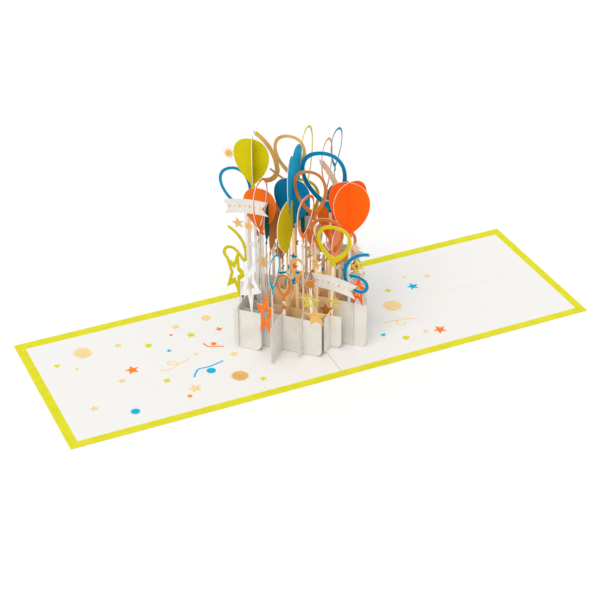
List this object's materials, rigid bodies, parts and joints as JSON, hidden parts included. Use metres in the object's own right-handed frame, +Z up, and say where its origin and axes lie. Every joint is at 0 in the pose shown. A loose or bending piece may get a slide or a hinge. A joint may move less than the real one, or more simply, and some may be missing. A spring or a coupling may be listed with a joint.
{
  "type": "pop up card",
  "caption": "Folded greeting card lying open, with a standing lattice of slotted die-cut paper slices shaped as balloons, stars, banners and curled ribbons.",
  "frame": {"origin": "middle of the open card's underside, on the fold", "axes": "+X along the open card's length, across the fold, +Y along the fold to the card's back edge, +Z up"},
  "size_m": [0.39, 0.13, 0.1542],
  "materials": {
    "slice_card": "matt card stock",
    "green_card": "matt printed card stock",
    "orange_card": "matt printed card stock",
    "blue_card": "matt printed card stock",
    "cover_card": "matt card",
    "liner_paper": "smooth white paper"
  },
  "bodies": {
    "root": {"slice_a1": "slice_card", "slice_a2": "slice_card", "slice_a3": "slice_card", "slice_a4": "slice_card", "slice_a5": "slice_card", "slice_a6": "slice_card", "slice_a7": "slice_card", "slice_a8": "slice_card", "slice_b1": "slice_card", "slice_b2": "slice_card", "slice_b3": "slice_card", "slice_b4": "slice_card", "slice_b5": "slice_card", "slice_b6": "slice_card", "green_balloon_fin": "green_card", "orange_balloon_fin": "orange_card", "blue_balloon_fin": "blue_card", "cover": "cover_card", "liner": "liner_paper"}
  },
  "joints": []
}
